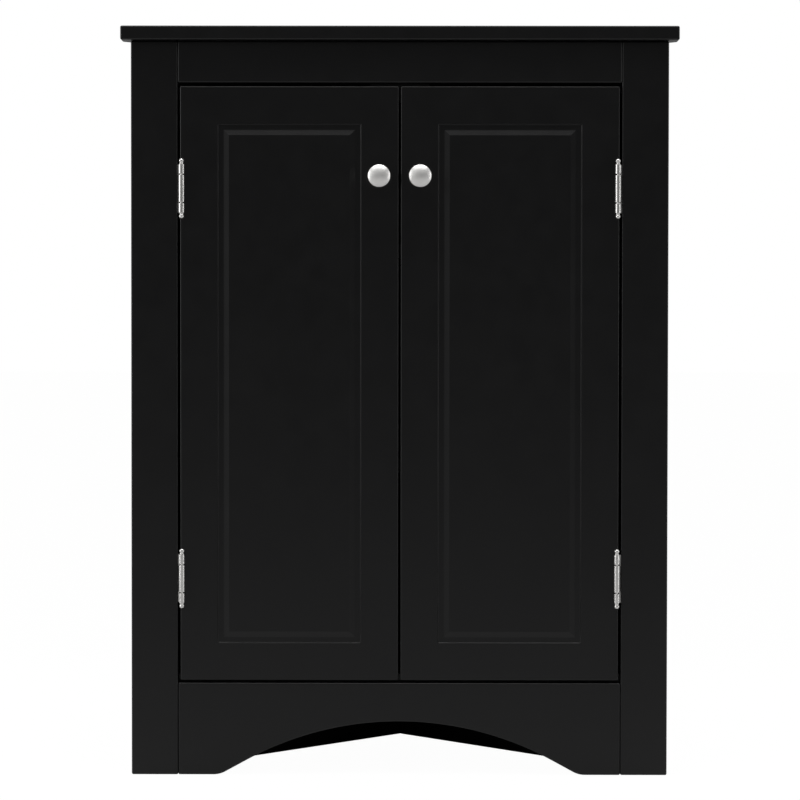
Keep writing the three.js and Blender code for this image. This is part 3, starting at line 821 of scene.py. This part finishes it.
def hinge_leaf(name, inner, joint, is_knuckle):
    """A flat leaf, of which one part is drawn on, cranked in line with the pin and rolled round it."""
    low = Vector((inner, flat_start, -leaf_half))
    high = Vector((inner + sheet, flat_start + leaf_width, leaf_half))
    leaf = rounded_slab(name, low, high, leaf_corner, lambda start, end: (
        start.z == end.z and start.y == end.y > flat_start + sheet
    ))
    only(leaf)
    bpy.ops.object.mode_set(mode="EDIT")
    for height in (-joint, joint):
        bpy.ops.mesh.select_all(action="SELECT")
        bpy.ops.mesh.bisect(plane_co=(0, 0, height), plane_no=(0, 0, 1))
    select_faces(leaf, lambda face: (
        face.normal.y < -straight_ahead and is_knuckle(abs(face.calc_center_median().z))
    ))
    leaf_middle = inner + sheet / 2
    barrel_middle = barrel_radius - sheet / 2
    crank = 2 * math.atan2(leaf_middle - barrel_middle, flat_start)
    crank_radius = flat_start / (2 * math.sin(crank))
    bends = [
        (crank_steps, crank, (leaf_middle - crank_radius, flat_start, 0)),
        (crank_steps, -crank, (barrel_middle + crank_radius, 0, 0)),
        (roll_steps, roll, (0, 0, 0)),
    ]
    for steps, angle, centre in bends:
        bpy.ops.mesh.spin(steps=steps, angle=angle, center=centre, axis=(0, 0, 1))
    bpy.ops.mesh.select_all(action="SELECT")
    bpy.ops.mesh.normals_make_consistent(inside=False)
    round_edges(leaf, leaf_edge, segments=2)
    drill(leaf, [
        (Vector((inner - sheet, flat_middle, z)), Vector((inner + 2 * sheet, flat_middle, z)))
        for z in leaf_screw_heights
    ], leaf_hole)
    polish(leaf, angle=30)
    coat(leaf, bright_nickel)
    return leaf


frame_joint = knuckle_joint - knuckle_gap
frame_leaf = hinge_leaf("frame_leaf_pattern", frame_leaf_inner, frame_joint, lambda z: z < frame_joint)
door_leaf = hinge_leaf("door_leaf_pattern", door_leaf_inner, knuckle_joint, lambda z: z > knuckle_joint)

pin_radius = 0.0013
finial_radius = 0.0027
finial_length = 0.0063
finial_shares = [
    (0.84, 0.03), (0.90, 0.07), (0.88, 0.14), (0.76, 0.20), (0.72, 0.28), (0.78, 0.35), (0.92, 0.43),
    (0.99, 0.53), (1.0, 0.62), (0.95, 0.74), (0.82, 0.85), (0.60, 0.935), (0.32, 0.985), (0.04, 1.0),
]
tip = [(radius * finial_radius, leaf_half + height * finial_length) for radius, height in finial_shares]
upper_half = [(pin_radius, tip[0][1])] + tip
lower_half = [(radius, -height) for radius, height in reversed(upper_half)]
hinge_pin = turned("hinge_pin_pattern", lower_half + upper_half, sides=40)
polish(hinge_pin, angle=50)
coat(hinge_pin, bright_nickel)
leaf_screw = screw(
    "leaf_screw_pattern", leaf_screw_shank, leaf_screw_length, leaf_screw_head,
    head_height=0.0009, sunk=True,
)

for side, out in (("left", -1), ("right", 1)):
    pilot_holes = {"stile": [], "door": []}
    for level in ("lower", "upper"):
        hinge = f"{level}_{side}_hinge"
        place = Matrix.Translation(middle_of(f"{hinge}_pin"))
        if out < 0:
            place = place @ Matrix.Rotation(math.pi, 4, "Y")
        stile_leaf = another(frame_leaf, f"{hinge}_stile_leaf", place)
        fasten(stile_leaf, "carcass", "hinge_nickel", f"{hinge}_frame_leaf")
        swing_leaf = another(door_leaf, f"{hinge}_swing_leaf", place)
        fasten(swing_leaf, f"{side}_door", "hinge_nickel", f"{hinge}_door_leaf")
        pin = another(hinge_pin, f"{hinge}_ball_pin", place)
        fasten(pin, "carcass", "hinge_nickel", f"{hinge}_pin")
        for height in leaf_screw_heights:
            seats = {
                "stile": (frame_leaf_inner, -out, "carcass"),
                "door": (door_leaf_inner + sheet, out, f"{side}_door"),
            }
            for board, (from_pin, head_side, body) in seats.items():
                name = f"{hinge}_{board}_screw_{'low' if height < 0 else 'high'}"
                head_place = place @ Vector((from_pin, flat_middle, height))
                head_out = Vector((head_side, 0, 0))
                fasten(another(leaf_screw, name, facing(head_place, head_out)), body, "zinc_steel")
                pilot_holes[board].append((head_place, head_place - head_out * pilot_depth))
    drill(stiles[side], pilot_holes["stile"], leaf_screw_shank + seat_gap)
    drill(doors[side], pilot_holes["door"], leaf_screw_shank + seat_gap)
for pattern in (frame_leaf, door_leaf, hinge_pin, leaf_screw):
    bpy.data.objects.remove(pattern)


# Magnetic catch
# A moulded black case screwed to the back of the top rail by its flange, with two magnets that each lie
# between steel pole plates and look out at the doors.
def moulded(name, colour):
    """Moulded plastic with a fine matt grain."""
    material, shader, tree = new_finish(name)
    shader.inputs["Base Color"].default_value = (*colour, 1)
    grain = patches(tree, scale=1600, detail=3)
    vary_roughness(tree, shader, grain, least=0.42, most=0.62, over=(0, 1))
    raise_pattern(tree, shader, grain, strength=0.4, height=0.00003)
    return material


black_plastic = moulded("black plastic", (0.014, 0.014, 0.015))
ferrite = moulded("ferrite", (0.035, 0.033, 0.032))
catch_low, catch_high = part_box("magnetic_catch")
rail_low, rail_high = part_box("top_rail")
flange_foot = 0.0008  # how much of the flange stands below the rail, where the case begins
case_top = rail_low.z + flange_foot
flange_thickness = 0.0024
flange_corner = 0.003
case_corner = 0.002
case_edge = 0.0005
window = Vector((0.0115, 0, 0.0045))  # half the width and half the height of each magnet's window
window_from_middle = 0.0165
magnet_depth = 0.008
magnet_play = 0.0002
pole_thickness = 0.0014
pole_lead = 0.0006  # how far the poles stand out beyond the magnet
hard_edge = 0.0002
case_low, case_high = catch_low, Vector((catch_high.x, catch_high.y, case_top))
case = rounded_slab("catch_case", case_low, case_high, case_corner, lambda start, end: (
    start.x == end.x and start.z == end.z < case_top - case_corner
))
flange_low = Vector((catch_low.x, rail_high.y + seat_gap, case_top - case_corner))
flange_high = Vector((catch_high.x, flange_low.y + flange_thickness, catch_high.z))
flange = rounded_slab("flange", flange_low, flange_high, flange_corner, lambda start, end: (
    start.x == end.x and start.z == end.z > case_top
))
carve(case, flange, "UNION")
round_edges(case, case_edge, segments=3)
window_middles = {
    side: Vector((out * window_from_middle, case_low.y, (case_low.z + case_top) / 2))
    for side, out in (("left", -1), ("right", 1))
}
for side, middle in window_middles.items():
    depth = Vector((0, magnet_depth, 0))
    carve(case, slab("window", middle - window - depth, middle + window + depth))
    low = middle - window + Vector((magnet_play, 2 * magnet_play, magnet_play))
    high = middle + window + depth - Vector((magnet_play, magnet_play, magnet_play))
    layers = {
        "lower_pole": (low, Vector((high.x, high.y, low.z + pole_thickness))),
        "upper_pole": (Vector((low.x, low.y, high.z - pole_thickness)), high),
        "magnet": (low + Vector((0, pole_lead, pole_thickness)), high - Vector((0, 0, pole_thickness))),
    }
    for layer, (layer_low, layer_high) in layers.items():
        plate = slab(f"{side}_catch_{layer}", layer_low, layer_high)
        round_edges(plate, hard_edge, segments=2)
        polish(plate)
        coat(plate, ferrite if layer == "magnet" else zinc)
        fasten(plate, "carcass", "black_plastic" if layer == "magnet" else "zinc_steel")
polish(case, angle=30)
coat(case, black_plastic)
fasten(case, "carcass", "black_plastic", "magnetic_catch")
catch_screw_shank = 0.0014
catch_screw_length = 0.011
catch_screw_from_middle = 0.022
catch_screw_from_top = 0.009
catch_screw = screw(
    "catch_screw_pattern", catch_screw_shank, catch_screw_length, head=0.0030, head_height=0.0018,
    sunk=False,
)
seats = {
    side: Vector((out * catch_screw_from_middle, flange_high.y, catch_high.z - catch_screw_from_top))
    for side, out in (("left", -1), ("right", 1))
}
for side, seat in seats.items():
    fasten(another(catch_screw, f"{side}_catch_screw", facing(seat, backwards)), "carcass", "zinc_steel")
for board in (case, rail):
    drill(board, [
        bore(seat, -backwards, catch_screw_length + catch_screw_shank) for seat in seats.values()
    ], catch_screw_shank + seat_gap)
bpy.data.objects.remove(catch_screw)


# Strike plates
# A small zinc-plated steel plate on the back of each door, which the magnets pull. Its corners are rounded,
# and one flat-headed screw holds it.
strike_corner = 0.002
strike_hole = 0.0031
strike_screw_length = 0.010
strike_screw_shank = catch_screw_shank
strike_screw = screw(
    "strike_screw_pattern", strike_screw_shank, strike_screw_length, head=0.0029, head_height=0.0011,
    sunk=True,
)
for side in ("left", "right"):
    low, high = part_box(f"{side}_strike_plate")
    plate = rounded_slab(f"{side}_strike", low, high, strike_corner, lambda start, end: (
        start.x == end.x and start.z == end.z
    ))
    round_edges(plate, hard_edge, segments=2)
    seat = back_of(f"{side}_strike_plate")
    drill(plate, [(seat - backwards * bit_start, seat + backwards * bit_start)], strike_hole)
    polish(plate, angle=30)
    coat(plate, zinc)
    fasten(plate, f"{side}_door", "zinc_steel", f"{side}_strike_plate")
    piece = another(strike_screw, f"{side}_strike_screw", facing(seat, backwards))
    fasten(piece, f"{side}_door", "zinc_steel")
    pilot_end = seat - backwards * (strike_screw_length + strike_screw_shank)
    drill(doors[side], [(seat, pilot_end)], strike_screw_shank + seat_gap)
bpy.data.objects.remove(strike_screw)


# Studio
# A white floor and a white surround, with a dark room in front. One long soft box hangs above the piece and
# one stands on each side of it, and the piece casts a faint shadow on the floor. The camera sees the floor
# white, but the grey that lights the piece and shows in its gloss is painted shade, darker towards the
# front.
floor_width = 60
# Painted shade: the floor's grey runs from dark far in front of the piece to light behind it.
painted_shade_front = -6  # the floor's white changes from here, well in front of the piece, to the back
painted_shade_back = 1
front_painted_shade = 0.03
back_painted_shade = 0.44
painted_shade_shares = [(0.3, 0.54), (0.69, 0.47), (0.8, 0.56), (0.84, 0.66)]  # of the way back, each with a white
glow_share = 0.95
bpy.ops.object.select_all(action="DESELECT")
bpy.ops.mesh.primitive_plane_add(size=floor_width, location=(0, 0, 0))
floor = named("floor")
floor_material = bpy.data.materials.new("floor")
floor_material.use_nodes = True
nodes, links = floor_material.node_tree.nodes, floor_material.node_tree.links
nodes.clear()
place = nodes.new("ShaderNodeSeparateXYZ")
links.new(nodes.new("ShaderNodeTexCoord").outputs["Object"], place.inputs[0])
reach = nodes.new("ShaderNodeMapRange")
reach.inputs["From Min"].default_value = painted_shade_front
reach.inputs["From Max"].default_value = painted_shade_back
links.new(place.outputs["Y"], reach.inputs["Value"])
# the floor's painted shade, set by how far in front of the piece or behind it each point lies
floor_painted_shade = nodes.new("ShaderNodeValToRGB")
floor_painted_shade.color_ramp.elements[0].color = (front_painted_shade, front_painted_shade, front_painted_shade, 1)
floor_painted_shade.color_ramp.elements[1].color = (back_painted_shade, back_painted_shade, back_painted_shade, 1)
for position, white in painted_shade_shares:
    floor_painted_shade.color_ramp.elements.new(position).color = (white, white, white, 1)
links.new(reach.outputs["Result"], floor_painted_shade.inputs["Fac"])
lit = nodes.new("ShaderNodeBsdfDiffuse")
links.new(floor_painted_shade.outputs["Color"], lit.inputs["Color"])
glow = nodes.new("ShaderNodeEmission")
glow.inputs["Strength"].default_value = 1.03
share = nodes.new("ShaderNodeMath")
share.operation = "MULTIPLY"
share.inputs[1].default_value = glow_share
links.new(nodes.new("ShaderNodeLightPath").outputs["Is Camera Ray"], share.inputs[0])
mix = nodes.new("ShaderNodeMixShader")
links.new(share.outputs[0], mix.inputs["Fac"])
links.new(lit.outputs[0], mix.inputs[1])
links.new(glow.outputs[0], mix.inputs[2])
links.new(mix.outputs[0], nodes.new("ShaderNodeOutputMaterial").inputs["Surface"])
coat(floor, floor_material)

world = bpy.data.worlds.new("surround")
bpy.context.scene.world = world
world.use_nodes = True
nodes, links = world.node_tree.nodes, world.node_tree.links
nodes.clear()
direction = nodes.new("ShaderNodeSeparateXYZ")
links.new(nodes.new("ShaderNodeTexCoord").outputs["Generated"], direction.inputs[0])


def brighter_towards(axis, start, end, amount, least=0):
    """Light that grows by an amount as the direction leans along an axis."""
    growth = nodes.new("ShaderNodeMapRange")
    growth.interpolation_type = "SMOOTHSTEP"
    growth.inputs["From Min"].default_value = start
    growth.inputs["From Max"].default_value = end
    growth.inputs["To Min"].default_value = least
    growth.inputs["To Max"].default_value = least + amount
    links.new(direction.outputs[axis], growth.inputs["Value"])
    return growth.outputs["Result"]


def together(light, other):
    """The sum of two lights, no more than white."""
    add = nodes.new("ShaderNodeMath")
    add.use_clamp = True
    links.new(light, add.inputs[0])
    links.new(other, add.inputs[1])
    return add.outputs[0]


def white_light():
    light = nodes.new("ShaderNodeBackground")
    light.inputs["Color"].default_value = (1, 1, 1, 1)
    return light


from_behind = brighter_towards("Y", start=-0.35, end=0.25, amount=0.96, least=0.116)
from_left = brighter_towards("X", start=-0.15, end=-0.9, amount=0.4)
from_above = brighter_towards("Z", start=0.2, end=1, amount=0.4)
reflected = white_light()
links.new(together(together(from_behind, from_left), from_above), reflected.inputs["Strength"])
ambient = white_light()
ambient.inputs["Strength"].default_value = 0.6
seen = white_light()
path = nodes.new("ShaderNodeLightPath")
by_gloss = nodes.new("ShaderNodeMixShader")
links.new(path.outputs["Is Glossy Ray"], by_gloss.inputs["Fac"])
links.new(ambient.outputs[0], by_gloss.inputs[1])
links.new(reflected.outputs[0], by_gloss.inputs[2])
by_camera = nodes.new("ShaderNodeMixShader")
links.new(path.outputs["Is Camera Ray"], by_camera.inputs["Fac"])
links.new(by_gloss.outputs[0], by_camera.inputs[1])
links.new(seen.outputs[0], by_camera.inputs[2])
links.new(by_camera.outputs[0], nodes.new("ShaderNodeOutputWorld").inputs["Surface"])


aim = Vector((0, 0, 0.4))


def soft_box(name, place, width, height, power):
    data = bpy.data.lights.new(name, "AREA")
    data.shape = "RECTANGLE"
    data.size = width
    data.size_y = height
    data.energy = power
    lamp = bpy.data.objects.new(name, data)
    bpy.context.scene.collection.objects.link(lamp)
    lamp.location = place
    lamp.rotation_euler = (aim - Vector(place)).to_track_quat("-Z", "Y").to_euler()


soft_box("top soft box", place=(0, -0.75, 2.8), width=2.6, height=1.0, power=27)
soft_box("left soft box", place=(-2.4, -0.55, 0.7), width=1.0, height=2.0, power=14)
soft_box("right soft box", place=(2.4, -0.8, 0.7), width=0.5, height=2.0, power=8)
